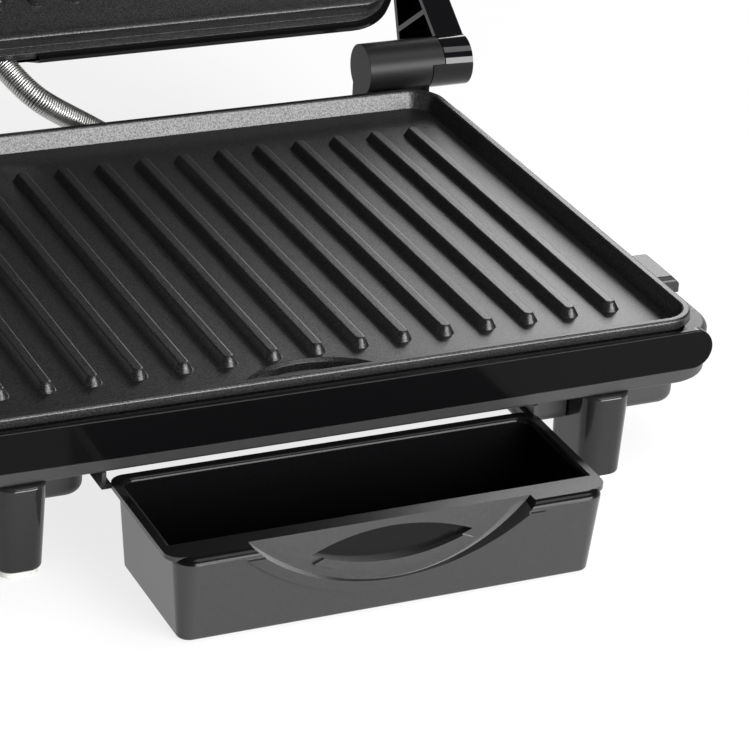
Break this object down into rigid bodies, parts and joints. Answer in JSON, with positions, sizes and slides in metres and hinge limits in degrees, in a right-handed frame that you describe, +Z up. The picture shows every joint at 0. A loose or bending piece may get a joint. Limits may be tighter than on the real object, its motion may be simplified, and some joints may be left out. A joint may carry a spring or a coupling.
{
  "type": "electric grill",
  "caption": "Countertop contact grill with ribbed non-stick plates, a lid on hinged arms, a sliding drip tray and a steel spring conduit, shown with the lid open.",
  "frame": {"origin": "on the table under the middle of the whole part's box, lid open and tray drawn out", "axes": "+X to the grill's right, +Y to the rear where the lid is hinged, +Z up"},
  "size_m": [0.345, 0.562, 0.2369],
  "materials": {
    "plate": "satin",
    "body": "satin",
    "gloss": "gloss",
    "leg": "satin",
    "pad": "matte",
    "tray": "satin",
    "barrel": "matte",
    "steel": "satin",
    "bright": "gloss",
    "lever": "gloss",
    "rubber": "matte",
    "ceramic": "matte"
  },
  "bodies": {
    "base": {"base_housing": "body", "plate_seat": "body", "front_fascia": "gloss", "bottom_cover": "body", "legs": "leg", "foot_pads": "pad", "tray_rail_left": "body", "tray_rail_right": "body", "drain_chute": "steel", "lower_grill_plate": "plate", "lower_heating_element": "steel", "lower_reflector": "steel", "thermostat": "ceramic", "thermal_fuse": "ceramic", "terminal_block": "ceramic", "hinge_bracket_left": "barrel", "hinge_bracket_right": "barrel", "hinge_pin_left": "steel", "hinge_pin_right": "steel", "hinge_screws": "steel", "cover_screws": "steel", "conduit_gland": "body", "mains_bush": "rubber", "conduit": "bright"},
    "arms": {"arm_left": "gloss", "arm_right": "gloss", "handle_grip": "gloss", "handle_screws": "steel", "pivot_pin_left": "steel", "pivot_pin_right": "steel"},
    "lid": {"lid_housing": "gloss", "lid_frame": "body", "upper_grill_plate": "plate", "upper_heating_element": "steel", "upper_reflector": "steel", "conduit_grommet": "rubber", "lid_screws": "steel"},
    "tray": {"drip_tray": "tray"},
    "lever_left": {"release_lever_left": "lever"},
    "lever_right": {"release_lever_right": "lever"}
  },
  "joints": [
    {"name": "arm_hinge", "type": "hinge", "parent": "base", "child": "arms", "pos_m": [0, 0.03557, 0.0654], "axis": [1, 0, 0], "range_deg": [0, 145.5], "deforming": ["conduit"]},
    {"name": "lid_tilt", "type": "hinge", "parent": "arms", "child": "lid", "pos_m": [0, 0.14264, 0.13789], "axis": [1, 0, 0], "range_deg": [0, 2.02], "deforming": ["conduit"]},
    {"name": "tray_slide", "type": "slide", "parent": "base", "child": "tray", "axis": [0, 1, 0], "range_m": [0, 0.057]},
    {"name": "lever_left_slide", "type": "slide", "parent": "base", "child": "lever_left", "axis": [0, 1, 0], "range_m": [0, 0.006]},
    {"name": "lever_right_slide", "type": "slide", "parent": "base", "child": "lever_right", "axis": [0, 1, 0], "range_m": [0, 0.006]}
  ],
  "couplings": [
    {"joint": "lid_tilt", "follows": "arm_hinge", "ratio": 0.013746}
  ]
}
